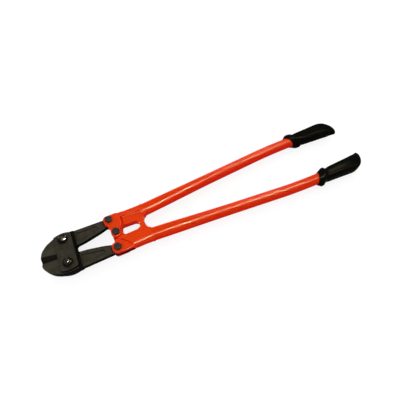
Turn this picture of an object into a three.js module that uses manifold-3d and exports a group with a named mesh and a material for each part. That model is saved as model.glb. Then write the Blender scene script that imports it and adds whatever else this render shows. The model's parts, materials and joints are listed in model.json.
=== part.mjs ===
// Bolt cutters: two jaws held by link plates, two forged forks on tube handles, moulded grips.
// Millimetres. +X runs from the jaws to the grips, +Y to the upper handle, +Z along the pivots.
// Everything is drawn about the centre pivot, jaws closed, then moved to stand on Z = 0.
import * as THREE from 'three';
import { mergeVertices } from 'three/addons/utils/BufferGeometryUtils.js';
import Module from 'manifold-3d';

const wasm = await Module();
wasm.setup();

// Clearances
const seatGap = 0.3;            // between pieces that are bolted or pressed together
const runGap = 0.35;            // between faces that slide on each other
const boreGap = 0.3;            // radial, a bolt in its hole

// Pivots of the upper side; the lower side mirrors them
const jawPivot = { x: -121.2, y: 31.7 };
const tailPivot = { x: -7.1, y: 39.7 };
const handleSwing = THREE.MathUtils.degToRad(45);

// Jaws
const bladeReach = 60.8;        // tip ahead of the jaw pivot
const bladeNose = 10;           // straight nose beside the cutting line
const jawOuter = 19.4;          // back of the jaw outside the jaw pivot
const headReach = 24.5;         // thick part behind the jaw pivot
const heelReach = 16;           // where the jaws part behind the jaw pivot
const jawHalf = 9.6;            // half thickness of the thick part
const tailHalf = 6.4;           // half thickness of the tail
const tongueHalf = 4.1;          // half thickness inside the fork
const tongueRadius = 11;
const shoulderGap = 2.2;        // thick part of the tail ends this far outside the slot floor
const edgeBevel = { width: 13, depth: 6.6 };
const reliefBevel = { width: 12, depth: 2.6 };
const bevelStop = 8;            // bevels end this far ahead of the jaw pivot
const tailPanelDepth = 0.9;

// Link plates
const plateThickness = 7.6;
const plateFront = 21.5;        // edge ahead of the jaw pivot
const plateBack = 20.5;         // edge behind the jaw pivot
const plateShoulder = 13.6;     // corner outside the jaw pivot
const plateCrown = 4.6;         // rise of the curved end
const plateChamfer = 1.4;

// Fasteners
const jawBoltRadius = 6.4;
const jawHex = { flats: 19, head: 7.4, nut: 7.6, proud: 2 };
const jawWasher = { radius: 11.8, thickness: 2 };
const pivotBoltRadius = 5.2;
const pivotHex = { flats: 16.4, head: 6.8, nut: 7, proud: 2 };
const pivotWasher = { radius: 10.6, thickness: 1.8 };

// Forks
const forkHalf = 12;            // clevis, above and below the middle
const padRise = 1;             // the lapped plate stands this much prouder
const slotHalf = tongueHalf + runGap;
const slotRadius = 14.6;        // slot floor about the tail pivot
const slotEnd = 39;             // open end of the slot behind the tail pivot
const clevisRadius = 13.2;
const lugRadius = 12.9;
const webHalf = 9;              // web between the clevis and the stop pad
const webPanelDepth = 1;
const webInner = 14.8;          // inner edge of the web off the middle line
const stopPad = { from: 60, to: 71.5 };

// Handles: a straight, a bend and a second straight, seen from above
const seamX = 84;               // fork meets tube
const lineStart = { x: 0, y: 32.3 };
const lineSlope = 0.083;
const bend = { from: 430, to: 577, endSlope: -0.02 };
const tubeRound = 14.7;          // outer radius of the round stretch
const tubeFlat = { outer: 16.8, inner: 19, thick: 12.6, until: 300 };
const tubeWall = 2.6;
const tangEnd = 150;            // fork's tang inside the tube
const tubeEnd = 668;

// Grips
const gripStations = [
  // along, outer half width, inner half width, half thickness
  [550, 16.5, 16.5, 16.5],
  [553, 17.6, 17.4, 17.4],
  [561, 22.2, 22, 21.2],
  [565.5, 22.4, 22.2, 21.4],
  [572, 19, 18.8, 18.6],
  [584, 18.1, 17.6, 17.6],
  [606, 19.4, 18.2, 17.6],
  [636, 20.6, 19.3, 17.8],
  [658, 20.7, 20, 17.8],
  [672, 19.2, 20.8, 17.4],
  [682, 16.6, 21.8, 16.4],
  [690, 12.2, 23, 14.8],
  [696, 6.8, 24.4, 12.4],
  [700, 0, 25.6, 9],
  [702.4, -7, 26, 5.6],
  [703.4, -13, 24.6, 2.4],
];
const collarSlant = { slope: 0.42, from: 574, fade: 36 };   // flange leans, fading out behind it
const gripStart = gripStations[0][0];

const armLength = Math.hypot(tailPivot.x - jawPivot.x, tailPivot.y - jawPivot.y);
const armAngle = Math.atan2(tailPivot.y - jawPivot.y, tailPivot.x - jawPivot.x);

// Inward drop of the tail pivot, and the jaw's turn, when a handle has opened by an angle
const tailDrop = (open) => tailPivot.y * (1 - Math.cos(open)) - tailPivot.x * Math.sin(open);
const jawTurn = (open) => armAngle - Math.asin(Math.sin(armAngle) - tailDrop(open) / armLength);
const jawSwing = jawTurn(handleSwing) * 0.9;

// The jaw follows the handle in a straight ratio, so the fork lugs drift apart by twice this much
function lugDrift(share) {
  const turn = jawSwing * share;
  const drop = armLength * (Math.sin(armAngle) - Math.sin(armAngle - turn));
  return Math.abs(drop - tailDrop(handleSwing * share));
}
const arcStep = THREE.MathUtils.degToRad(20);   // longest facet of a rounded corner
const maxDrift = 2 * Math.max(...Array.from({ length: 21 }, (_, i) => lugDrift(i / 20)));

const lugClearRadius = lugRadius + maxDrift + runGap;
const plateBase = jawHalf + runGap;
const plateTop = plateBase + plateThickness;
const padTop = forkHalf + padRise;

// --- solids -----------------------------------------------------------------------------------

function toSolid(geometry) {
  const bare = geometry.clone();
  bare.deleteAttribute('normal');
  bare.deleteAttribute('uv');
  const merged = mergeVertices(bare, 1e-4);
  const corners = merged.index.array;
  const kept = [];
  for (let i = 0; i < corners.length; i += 3) {
    const [a, b, c] = corners.slice(i, i + 3);
    if (a !== b && b !== c && c !== a) kept.push(a, b, c);
  }
  return new wasm.Manifold(new wasm.Mesh({
    numProp: 3,
    vertProperties: new Float32Array(merged.attributes.position.array),
    triVerts: new Uint32Array(kept),
  }));
}

function toGeometry(solid) {
  const data = solid.getMesh();
  const geometry = new THREE.BufferGeometry();
  geometry.setAttribute('position', new THREE.BufferAttribute(data.vertProperties, 3));
  geometry.setIndex(new THREE.BufferAttribute(data.triVerts, 1));
  geometry.computeVertexNormals();
  return geometry;
}

const joined = (...solids) => solids.reduce((sum, each) => sum.add(each));
const cut = (body, ...tools) => tools.reduce((rest, tool) => rest.subtract(tool), body);

// Polygon of [x, y, radius] corners, each rounded by an arc that its sides have room for
function roundedShape(corners) {
  const count = corners.length;
  const points = [];
  corners.forEach(([x, y, radius = 0], i) => {
    const here = new THREE.Vector2(x, y);
    const before = new THREE.Vector2(...corners[(i + count - 1) % count]).sub(here);
    const after = new THREE.Vector2(...corners[(i + 1) % count]).sub(here);
    const bend = Math.PI - Math.acos(before.dot(after) / (before.length() * after.length()));
    const room = 0.49 * Math.min(before.length(), after.length());
    const reach = Math.min(radius * Math.tan(bend / 2), room);
    if (reach < 0.05) {
      points.push(here);
      return;
    }
    const pieces = Math.max(1, Math.ceil(bend / arcStep));
    const curve = reach / Math.tan(bend / 2);
    const first = here.clone().add(before.clone().setLength(reach));
    const side = Math.sign(-before.cross(after)) || 1;
    const inward = before.clone().normalize().rotateAround(new THREE.Vector2(), -side * Math.PI / 2);
    const centre = first.clone().add(inward.multiplyScalar(curve));
    for (let k = 0; k <= pieces; k++) {
      points.push(first.clone().rotateAround(centre, side * bend * k / pieces));
    }
  });
  return new THREE.Shape(points);
}

function prism(shape, bottom, top, chamfer = 0) {
  const geometry = new THREE.ExtrudeGeometry(shape, {
    depth: top - bottom - 2 * chamfer,
    curveSegments: 8,
    bevelEnabled: chamfer > 0,
    bevelSize: chamfer,
    bevelOffset: -chamfer,
    bevelThickness: chamfer,
    bevelSegments: 1,
  });
  geometry.translate(0, 0, bottom + chamfer);
  return toSolid(geometry);
}

function disc(centre, radius, bottom, top, sides = 28) {
  const geometry = new THREE.CylinderGeometry(radius, radius, top - bottom, sides);
  geometry.rotateX(Math.PI / 2);
  geometry.translate(centre.x, centre.y, (bottom + top) / 2);
  return toSolid(geometry);
}

// Turned solid about the vertical through a centre, from [radius, z] pairs that rise in z
function turned(centre, profile, sides = 24) {
  const points = profile.map(([radius, z]) => new THREE.Vector2(radius, z));
  const geometry = new THREE.LatheGeometry(points, sides);
  geometry.rotateX(Math.PI / 2);
  geometry.translate(centre.x, centre.y, 0);
  return toSolid(geometry);
}

// Closed skin through rings of equal count, capped with a fan at each end
function loft(rings) {
  const count = rings[0].length;
  const centres = [rings[0], rings[rings.length - 1]].map((ring) => ring
    .reduce((sum, point) => sum.add(point), new THREE.Vector3()).divideScalar(count));
  const points = [...rings.flat(), ...centres];
  const faces = [];
  const last = rings.length - 1;
  for (let i = 0; i < count; i++) {
    const j = (i + 1) % count;
    for (let r = 0; r < last; r++) {
      const a = r * count;
      const b = a + count;
      faces.push(a + i, a + j, b + j, a + i, b + j, b + i);
    }
    faces.push(points.length - 2, j, i);
    faces.push(points.length - 1, last * count + i, last * count + j);
  }
  const geometry = new THREE.BufferGeometry().setFromPoints(points);
  geometry.setIndex(faces);
  return toSolid(geometry);
}

// --- handle line ------------------------------------------------------------------------------

function lineY(x) {
  const curve = (bend.endSlope - lineSlope) / (2 * (bend.to - bend.from));
  const inBend = THREE.MathUtils.clamp(x, bend.from, bend.to) - bend.from;
  const past = Math.max(0, x - bend.to);
  return lineStart.y + lineSlope * (x - past - lineStart.x) + curve * inBend ** 2
    + bend.endSlope * past;
}

function lineAngle(x) {
  const share = THREE.MathUtils.clamp((x - bend.from) / (bend.to - bend.from), 0, 1);
  return Math.atan(THREE.MathUtils.lerp(lineSlope, bend.endSlope, share));
}

// Oval ring square to the handle line; slant leans it so that its outer side comes forward
function ovalRing(x, outer, inner, thick, sides = 20, slant = 0) {
  const angle = lineAngle(x);
  return Array.from({ length: sides }, (_, i) => {
    const turn = (i / sides) * 2 * Math.PI;
    const middle = (outer - inner) / 2;
    const across = middle + (outer + inner) / 2 * Math.cos(turn);
    const along = -slant * across;
    return new THREE.Vector3(
      x + along * Math.cos(angle) - across * Math.sin(angle),
      lineY(x) + along * Math.sin(angle) + across * Math.cos(angle),
      thick * Math.sin(turn),
    );
  });
}

function tubeRing(x, offset) {
  const share = THREE.MathUtils.smoothstep(x, seamX, tubeFlat.until);
  const outer = THREE.MathUtils.lerp(tubeFlat.outer, tubeRound, share) + offset;
  const inner = THREE.MathUtils.lerp(tubeFlat.inner, tubeRound, share) + offset;
  const thick = THREE.MathUtils.lerp(tubeFlat.thick, tubeRound, share) + offset;
  return ovalRing(x, outer, inner, thick);
}

const steps = (from, to, count) => Array.from({ length: count + 1 },
  (_, i) => from + (to - from) * i / count);

function tubeSolid(from, to, offset) {
  const inside = [seamX + 60, seamX + 120, tubeFlat.until, ...steps(bend.from, bend.to, 5)]
    .filter((x) => x > from + 5 && x < to - 5);
  return loft([from, ...inside, to].map((x) => tubeRing(x, offset)));
}

// --- pieces -----------------------------------------------------------------------------------

function jaw() {
  const tip = jawPivot.x - bladeReach;
  const back = jawPivot.y + jawOuter;
  const heelX = jawPivot.x + heelReach;
  const heelY = seatGap / 2 + heelReach * Math.tan(jawTurn(handleSwing));
  const tail = tailPivot;
  const outline = roundedShape([
    [tip, seatGap / 2],
    [tip - 0.5, bladeNose, 4],
    [tip + 4, 22.5, 30],
    [tip + 19, 38.5, 40],
    [tip + 38, back - 2.6, 60],
    [jawPivot.x - 4, back, 60],
    [jawPivot.x + 24, back, 60],
    [tail.x - 17, tail.y + 9.2, 12],
    [tail.x, tail.y + tongueRadius, 10],
    [tail.x + tongueRadius, tail.y + tongueRadius, tongueRadius],
    [tail.x + tongueRadius, tail.y - tongueRadius, tongueRadius],
    [tail.x - 4, tail.y - tongueRadius - 0.6, 12],
    [tail.x - 30, tail.y - 19.5, 60],
    [tail.x - 69, 11.8, 40],
    [heelX + 7, 9, 6],
    [heelX, heelY, 1.5],
    [jawPivot.x, seatGap / 2],
  ]);
  const everywhere = 200;
  const headRegion = roundedShape([
    [tip - everywhere, -everywhere],
    [jawPivot.x + headReach - 1, -everywhere],
    [jawPivot.x + headReach - 1, jawPivot.y - 16, 8],
    [jawPivot.x + headReach + 1.5, jawPivot.y + 6, 30],
    [jawPivot.x + headReach - 4, everywhere],
    [tip - everywhere, everywhere],
  ]);
  const head = prism(outline, -jawHalf, jawHalf, 0.8)
    .intersect(prism(headRegion, -jawHalf, jawHalf));
  const tongueShoulder = slotRadius + shoulderGap;
  const tailBody = cut(prism(outline, -tailHalf, tailHalf, 1.4),
    disc(tail, tongueShoulder, tongueHalf, everywhere),
    disc(tail, tongueShoulder, -everywhere, -tongueHalf));
  const panel = roundedShape([
    [jawPivot.x + headReach + 8, 17, 2],
    [tail.x - 32, 26, 4],
    [tail.x - 23, 30.5, 4],
    [tail.x - 30, 36.8, 5],
    [jawPivot.x + headReach + 8, 41.5, 2],
  ]);
  const section = new THREE.Shape([
    [-5, 0.3], [seatGap / 2, 0.3], [edgeBevel.width, edgeBevel.depth],
    [edgeBevel.width + reliefBevel.width, edgeBevel.depth + reliefBevel.depth],
    [edgeBevel.width + reliefBevel.width + 2, jawHalf + 5], [-5, jawHalf + 5],
  ].map(([y, z]) => new THREE.Vector2(y, z)));
  const bevelLength = bladeReach - bevelStop + 10;
  const bevel = new THREE.ExtrudeGeometry(section, { depth: bevelLength, bevelEnabled: false });
  bevel.rotateX(Math.PI / 2);
  bevel.rotateZ(Math.PI / 2);
  bevel.translate(tip - 10, 0, 0);
  const topBevel = toSolid(bevel);
  return cut(joined(head, tailBody),
    topBevel, topBevel.mirror([0, 0, 1]),
    prism(panel, tailHalf - tailPanelDepth, everywhere),
    prism(panel, -everywhere, -tailHalf + tailPanelDepth),
    disc(jawPivot, jawBoltRadius + boreGap, -everywhere, everywhere),
    disc(tail, pivotBoltRadius + boreGap, -everywhere, everywhere));
}

function linkPlate() {
  const front = jawPivot.x - plateFront;
  const back = jawPivot.x + plateBack;
  const corner = jawPivot.y + plateShoulder;
  const middle = (front + back) / 2;
  const shape = new THREE.Shape();
  shape.moveTo(front, -corner);
  shape.quadraticCurveTo(middle, -corner - 2 * plateCrown, back, -corner);
  shape.lineTo(back, corner);
  shape.quadraticCurveTo(middle, corner + 2 * plateCrown, front, corner);
  shape.closePath();
  return cut(prism(shape, plateBase, plateTop, plateChamfer),
    disc(jawPivot, jawBoltRadius + boreGap, 0, 2 * plateTop),
    disc({ x: jawPivot.x, y: -jawPivot.y }, jawBoltRadius + boreGap, 0, 2 * plateTop));
}

// Hexagon with its corners turned off at the upper end, or at both ends
function hexagon(centre, flats, bottom, top, bothEnds, turn = 0) {
  const corner = flats / Math.sqrt(3);
  const face = flats * 0.47;
  const slope = (corner - face) * 0.55;
  const prismGeometry = new THREE.CylinderGeometry(corner, corner, top - bottom, 6);
  prismGeometry.rotateX(Math.PI / 2);
  prismGeometry.rotateZ(turn);
  prismGeometry.translate(centre.x, centre.y, (bottom + top) / 2);
  const reach = corner + 0.1;
  const profile = [[0, bottom], [bothEnds ? face : reach, bottom], [reach, bottom + slope],
    [reach, top - slope], [face, top], [0, top]];
  return toSolid(prismGeometry).intersect(turned(centre, profile));
}

// Bolt along Z through the middle: head below when headDown, threaded end beyond the far nut
function bolt(centre, radius, hex, headSeat, endZ, headDown, turn = 0) {
  const down = headDown ? -1 : 1;
  const dome = Math.min(1.6, radius / 3);
  const inHead = -hex.head / 2;
  const shank = turned(centre, [[0, inHead], [radius, inHead], [radius, headSeat + endZ - dome],
    [radius - dome * 0.7, headSeat + endZ - dome * 0.35], [0, headSeat + endZ]]);
  const head = hexagon(centre, hex.flats, 0, hex.head, false, turn);
  const upright = joined(shank, head.mirror([0, 0, 1]));
  const placed = upright.translate([0, 0, -headSeat]);
  return down < 0 ? placed : placed.mirror([0, 0, 1]);
}

function nut(centre, radius, hex, bottom, turn = 0) {
  return cut(hexagon(centre, hex.flats, bottom, bottom + hex.nut, true, turn),
    disc(centre, radius + boreGap, bottom - 1, bottom + hex.nut + 1, 24));
}

function washer(centre, boreRadius, size, bottom) {
  return cut(disc(centre, size.radius, bottom, bottom + size.thickness),
    disc(centre, boreRadius + boreGap, bottom - 1, bottom + size.thickness + 1, 24));
}

function fork(centreBoreGap) {
  const centre = { x: 0, y: 0 };
  const lapFace = runGap / 2;
  const everywhere = 200;
  const tail = tailPivot;
  const ribStart = tail.x + pivotWasher.radius + 1.5;
  const rib = loft([ribStart, 40, seamX - seatGap].map((x) => tubeRing(x, 0.4)));
  const tang = tubeSolid(seamX - 4, tangEnd, -tubeWall - seatGap);
  const ribOuter = lineY(ribStart) + tubeFlat.outer;
  const clevis = prism(roundedShape([
    [tail.x - clevisRadius, tail.y - clevisRadius, clevisRadius],
    [26, tail.y - clevisRadius, 2],
    [30, ribOuter - 3, 3],
    [18, tail.y + clevisRadius - 0.6, 8],
    [tail.x - clevisRadius, tail.y + clevisRadius, clevisRadius],
  ]), -forkHalf, forkHalf, 1.2);
  const lapPlate = prism(roundedShape([
    [-lugRadius, -lugRadius, lugRadius],
    [lugRadius, -lugRadius, lugRadius],
    [lugRadius, 12, 10],
    [21, 27, 9],
    [21, tail.y + clevisRadius, 8],
    [tail.x - clevisRadius, tail.y + clevisRadius, clevisRadius],
    [tail.x - clevisRadius + 0.3, tail.y - 4, 12],
    [-lugRadius + 1.6, 15, 12],
  ]), lapFace, padTop, 1.1);
  const web = prism(roundedShape([
    [15, webInner, 3],
    [47, webInner - 2, 12],
    [stopPad.from - 3, webInner - 7, 8],
    [stopPad.from, seatGap / 2, 2],
    [stopPad.to, seatGap / 2, 2],
    [stopPad.to + 2, 13, 8],
    [stopPad.to + 6, 20, 6],
    [seamX - seatGap, 21, 2],
    [seamX - seatGap, lineY(seamX)],
    [15, 40],
  ]), -webHalf, webHalf, 1.2);
  const panel = roundedShape([
    [25, webInner + 3.5, 3],
    [50, webInner + 2, 6],
    [stopPad.from + 4, webInner - 3, 4],
    [stopPad.to - 1, webInner + 1, 5],
    [stopPad.to + 3, 26, 4],
    [stopPad.to, 37, 3],
    [25, 37, 3],
  ]);
  const slot = roundedShape([
    [tail.x - everywhere, tail.y - slotRadius],
    [tail.x, tail.y - slotRadius, 2],
    [tail.x + slotRadius * 0.8, tail.y - slotRadius * 0.55, 6],
    [tail.x + slotEnd, tail.y + 7, 2],
    [tail.x + slotEnd, everywhere],
    [tail.x - everywhere, everywhere],
  ]);
  const body = cut(joined(rib, clevis, lapPlate, web),
    prism(slot, -slotHalf, slotHalf),
    disc(centre, lugClearRadius, -everywhere, lapFace, 40),
    prism(panel, webHalf - webPanelDepth, everywhere),
    prism(panel, -everywhere, -webHalf + webPanelDepth));
  return cut(joined(body, tang),
    disc(tail, pivotBoltRadius + boreGap, -everywhere, everywhere),
    disc(centre, pivotBoltRadius + centreBoreGap, -everywhere, everywhere));
}

const handleTube = () => cut(tubeSolid(seamX, tubeEnd, 0), tubeSolid(seamX - 10, tubeEnd + 10,
  -tubeWall));

function grip() {
  const rings = gripStations.map(([x, outer, inner, thick]) => {
    const share = 1 - THREE.MathUtils.smoothstep(x, collarSlant.from, collarSlant.from
      + collarSlant.fade);
    return ovalRing(x, outer, inner, thick, 24, collarSlant.slope * share);
  });
  return cut(loft(rings), tubeSolid(gripStart - 30, tubeEnd + seatGap, seatGap));
}

// --- assembly ---------------------------------------------------------------------------------

const finish = (color, roughness, metalness) => () => new THREE.MeshStandardMaterial(
  { color, roughness, metalness });
const forgedSteel = finish(0x4a463c, 0.55, 0.7);
const brightSteel = finish(0x6a6a66, 0.35, 0.9);
const blackSteel = finish(0x1c1e1e, 0.45, 0.7);
const redPaint = finish(0xd8300c, 0.3, 0);
const blackRubber = finish(0x1b1c1a, 0.6, 0);

const tool = new THREE.Group();
function place(name, geometry, material, turnedOver = false) {
  const mesh = new THREE.Mesh(geometry, material());
  mesh.name = name;
  if (turnedOver) mesh.rotation.x = Math.PI;
  tool.add(mesh);
}

const centrePivot = { x: 0, y: 0 };
const jawGeometry = toGeometry(jaw());
const plateGeometry = toGeometry(linkPlate());
const tubeGeometry = toGeometry(handleTube());
const gripGeometry = toGeometry(grip());

place('front_link_plate', plateGeometry, forgedSteel);
place('rear_link_plate', plateGeometry, forgedSteel, true);
const jawNutSeat = plateTop + jawWasher.thickness + 2 * seatGap;
for (const [side, sign] of [['upper', 1], ['lower', -1]]) {
  const turnedOver = sign < 0;
  place(`${side}_jaw`, jawGeometry, forgedSteel, turnedOver);

  const pin = { x: jawPivot.x, y: sign * jawPivot.y };
  place(`${side}_jaw_bolt`, toGeometry(bolt(pin, jawBoltRadius, jawHex, plateTop + seatGap,
    jawNutSeat + jawHex.nut + jawHex.proud, true)), brightSteel);
  place(`${side}_jaw_washer`, toGeometry(washer(pin, jawBoltRadius, jawWasher,
    plateTop + seatGap)), brightSteel);
  place(`${side}_jaw_nut`, toGeometry(nut(pin, jawBoltRadius, jawHex, jawNutSeat,
    sign * 0.12)), brightSteel);

  place(`${side}_fork`, toGeometry(fork(boreGap + (turnedOver ? maxDrift : 0))), redPaint,
    turnedOver);
  place(`${side}_handle_tube`, tubeGeometry, redPaint, turnedOver);
  place(`${side}_grip`, gripGeometry, blackRubber, turnedOver);

  const front = turnedOver ? forkHalf : padTop;
  const rear = turnedOver ? padTop : forkHalf;
  pivotSet(`${side}_tail`, { x: tailPivot.x, y: sign * tailPivot.y }, front, rear);
}
pivotSet('centre', centrePivot, padTop, padTop);

// Bolt with its head in front, and a washer and nut behind
function pivotSet(name, centre, front, rear) {
  const washerTop = -rear - seatGap;
  const nutTop = washerTop - pivotWasher.thickness - seatGap;
  const end = -nutTop + pivotHex.nut + pivotHex.proud;
  place(`${name}_bolt`, toGeometry(bolt(centre, pivotBoltRadius, pivotHex, front + seatGap,
    end, false, 0.2)), blackSteel);
  place(`${name}_washer`, toGeometry(washer(centre, pivotBoltRadius, pivotWasher,
    washerTop - pivotWasher.thickness)), blackSteel);
  place(`${name}_nut`, toGeometry(nut(centre, pivotBoltRadius, pivotHex,
    nutTop - pivotHex.nut, 0.4)), blackSteel);
}

tool.updateMatrixWorld(true);
const bounds = new THREE.Box3().setFromObject(tool, true);
tool.position.set(-(bounds.min.x + bounds.max.x) / 2, -(bounds.min.y + bounds.max.y) / 2,
  -bounds.min.z);

const group = new THREE.Group();
group.add(tool);
export default group;
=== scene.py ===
# Bolt cutters lying on a white sweep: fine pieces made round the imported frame, and a plain studio.
import json
import math

import bmesh
import bpy
import numpy as np
from mathutils import Matrix, Vector


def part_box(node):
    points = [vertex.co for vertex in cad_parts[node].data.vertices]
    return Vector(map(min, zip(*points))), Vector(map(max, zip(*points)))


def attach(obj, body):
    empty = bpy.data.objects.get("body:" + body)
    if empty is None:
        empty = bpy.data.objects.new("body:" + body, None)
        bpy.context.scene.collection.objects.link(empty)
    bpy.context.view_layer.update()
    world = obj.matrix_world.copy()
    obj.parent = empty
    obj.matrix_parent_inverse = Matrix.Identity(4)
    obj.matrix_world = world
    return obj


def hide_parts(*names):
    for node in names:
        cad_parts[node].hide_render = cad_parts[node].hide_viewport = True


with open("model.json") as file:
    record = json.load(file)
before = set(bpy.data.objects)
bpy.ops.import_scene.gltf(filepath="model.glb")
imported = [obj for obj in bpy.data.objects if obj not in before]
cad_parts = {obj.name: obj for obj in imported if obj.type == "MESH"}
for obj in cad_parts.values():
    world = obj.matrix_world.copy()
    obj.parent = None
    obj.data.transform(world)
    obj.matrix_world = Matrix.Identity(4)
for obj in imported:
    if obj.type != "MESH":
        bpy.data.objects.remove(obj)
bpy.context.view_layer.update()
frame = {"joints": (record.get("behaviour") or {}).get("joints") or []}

mm = 0.001
pivotAt = {joint["name"]: Vector(joint["pos_m"]) for joint in frame["joints"]}
centreLow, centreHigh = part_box("centre_bolt")
centre = Vector(((centreLow.x + centreHigh.x) / 2, 0, pivotAt["upper_jaw_pivot"].z))
toFrame = Matrix.Translation(centre) @ Matrix.Scale(mm, 4)
turnedOver = Matrix.Rotation(math.pi, 4, "X")

# pieces are drawn in millimetres about the centre pivot, as the upper side has them
jawPivot = (pivotAt["upper_jaw_pivot"] - centre) / mm
tailPivot = (pivotAt["upper_tail_pivot"] - centre) / mm


def spanOf(node, axis):
    low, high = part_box(node)
    return (low[axis] - centre[axis]) / mm, (high[axis] - centre[axis]) / mm


alongX, alongZ = 0, 2
plateBase, plateTop = spanOf("front_link_plate", alongZ)
jawHalf = spanOf("upper_jaw", alongZ)[1]
padTop = spanOf("upper_fork", alongZ)[1]
seamX, tubeEnd = spanOf("upper_handle_tube", alongX)
print("frame loaded, centre pivot at", tuple(round(value, 5) for value in centre))


def rounded(corners, step=6):
    # [x, y, radius] corners of a polygon, each rounded as far as its sides have room
    points = []
    for i, corner in enumerate(corners):
        here = Vector(corner[:2])
        radius = corner[2] if len(corner) > 2 else 0
        before = Vector(corners[i - 1][:2]) - here
        after = Vector(corners[(i + 1) % len(corners)][:2]) - here
        bend = math.pi - before.angle(after)
        reach = min(radius * math.tan(bend / 2), 0.49 * min(before.length, after.length))
        if reach < 0.05:
            points.append(here)
            continue
        start = here + before.normalized() * reach
        end = here + after.normalized() * reach
        side = 1 if before.x * after.y - before.y * after.x < 0 else -1
        inward = Vector((before.y, -before.x)).normalized() * side
        middle = start + inward * (reach / math.tan(bend / 2))
        pieces = max(1, math.ceil(math.degrees(bend) / step))
        for k in range(pieces + 1):
            arm = start - middle
            arm.rotate(Matrix.Rotation(side * bend * k / pieces, 2))
            points.append(middle + arm)
        points[-1] = end
    return [(point.x, point.y) for point in points]


def addObject(name, data):
    added = bpy.data.objects.new(name, data)
    bpy.context.scene.collection.objects.link(added)
    return added


def newPiece(name, vertices, faces):
    mesh = bpy.data.meshes.new(name)
    mesh.from_pydata(vertices, [], faces)
    return addObject(name, mesh)


def slab(name, outline, bottom, top):
    area = sum(a[0] * b[1] - b[0] * a[1] for a, b in zip(outline, outline[1:] + outline[:1]))
    points = outline if area > 0 else outline[::-1]
    count = len(points)
    vertices = [(x, y, z) for z in (bottom, top) for x, y in points]
    faces = [tuple(range(count))[::-1], tuple(range(count, 2 * count))]
    faces += [(i, (i + 1) % count, (i + 1) % count + count, i + count) for i in range(count)]
    return newPiece(name, vertices, faces)


def skin(name, rings, capped=True):
    # closed skin through rings that turn the same way, flat at both ends unless it closes on itself
    count = len(rings[0])
    vertices = [point for ring in rings for point in ring]
    faces = []
    for r in range(len(rings) - 1):
        a, b = r * count, (r + 1) * count
        faces += [(a + i, a + (i + 1) % count, b + (i + 1) % count, b + i) for i in range(count)]
    if capped:
        faces += [tuple(range(count))[::-1], tuple(range(len(vertices) - count, len(vertices)))]
    piece = newPiece(name, vertices, faces)
    mesh = bmesh.new()
    mesh.from_mesh(piece.data)
    if not capped:
        bmesh.ops.remove_doubles(mesh, verts=mesh.verts, dist=1e-4)
    bmesh.ops.recalc_face_normals(mesh, faces=mesh.faces)
    mesh.to_mesh(piece.data)
    mesh.free()
    return piece


def circle(middle, radius, sides=72):
    turns = [2 * math.pi * i / sides for i in range(sides)]
    return [(middle[0] + radius * math.cos(t), middle[1] + radius * math.sin(t)) for t in turns]


def rod(name, middle, radius, bottom, top, sides=72):
    return slab(name, circle(middle, radius, sides), bottom, top)


def settle(piece):
    # the modifiers' result becomes the piece's own mesh
    depsgraph = bpy.context.evaluated_depsgraph_get()
    mesh = bpy.data.meshes.new_from_object(piece.evaluated_get(depsgraph))
    piece.modifiers.clear()
    piece.data = mesh
    return piece


def modify(piece, kind, **settings):
    modifier = piece.modifiers.new(kind.lower(), kind)
    for key, value in settings.items():
        setattr(modifier, key, value)


def carve(body, cutters, keep=False):
    for cutter in cutters:
        modify(body, "BOOLEAN", operation="DIFFERENCE", solver="EXACT", object=cutter)
    settle(body)
    if not keep:
        discard(cutters)
    return body


def discard(pieces):
    for piece in pieces:
        bpy.data.objects.remove(piece)


def joinPieces(name, parts):
    whole = bmesh.new()
    for part in parts:
        whole.from_mesh(part.data)
    discard(parts)
    piece = newPiece(name, [], [])
    whole.to_mesh(piece.data)
    whole.free()
    return piece


def fuse(name, parts, voxel, rounds):
    # parts that overlap become one casting with soft edges
    piece = joinPieces(name, parts)
    modify(piece, "REMESH", mode="VOXEL", voxel_size=voxel, use_smooth_shade=True)
    modify(piece, "SMOOTH", factor=0.5, iterations=rounds)
    return settle(piece)


def rounding(piece, width, segments=3, angle=30):
    modify(piece, "BEVEL", width=width, segments=segments, limit_method="ANGLE",
           angle_limit=math.radians(angle), use_clamp_overlap=True)
    return settle(piece)


def finishPiece(piece, material, body, lower=False, patch=None):
    # puts the drawn piece in the frame, smooths it and ties it to its body; it is named after
    # the node that it stands for
    piece.data.materials.clear()
    piece.data.materials.append(material)
    if patch:
        inner, isInner = patch
        piece.data.materials.append(inner)
        middles = np.empty(len(piece.data.polygons) * 3)
        piece.data.polygons.foreach_get("center", middles)
        piece.data.polygons.foreach_set("material_index",
                                        isInner(middles.reshape(-1, 3)).astype(np.int32))
    piece.data.transform(toFrame @ turnedOver if lower else toFrame)
    piece.data.shade_smooth()
    piece.data.set_sharp_from_angle(angle=math.radians(38))
    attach(piece, body)
    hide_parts(piece.name.removesuffix("_fine"))


def within(outline, points):
    # which points lie inside a polygon, seen from above
    inside = np.zeros(len(points), dtype=bool)
    for (ax, ay), (bx, by) in zip(outline, outline[1:] + outline[:1]):
        if ay == by:
            continue
        crosses = (points[:, 1] < ay) != (points[:, 1] < by)
        inside ^= crosses & (points[:, 0] < ax + (points[:, 1] - ay) * (bx - ax) / (by - ay))
    return inside


def joinFlats(piece):
    # faces that a cut left in several flat parts become one again
    mesh = bmesh.new()
    mesh.from_mesh(piece.data)
    bmesh.ops.remove_doubles(mesh, verts=mesh.verts, dist=0.01)
    bmesh.ops.dissolve_limit(mesh, angle_limit=math.radians(0.5), verts=mesh.verts,
                             edges=mesh.edges)
    mesh.to_mesh(piece.data)
    mesh.free()
    return piece


def bulges(face):
    # whether a face has no inward corner
    spots = [corner.co for corner in face.verts]
    return all((b - a).cross(c - b).dot(face.normal) >= -1e-5
               for a, b, c in zip(spots, spots[1:] + spots[:1], spots[2:] + spots[:2]))


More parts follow.
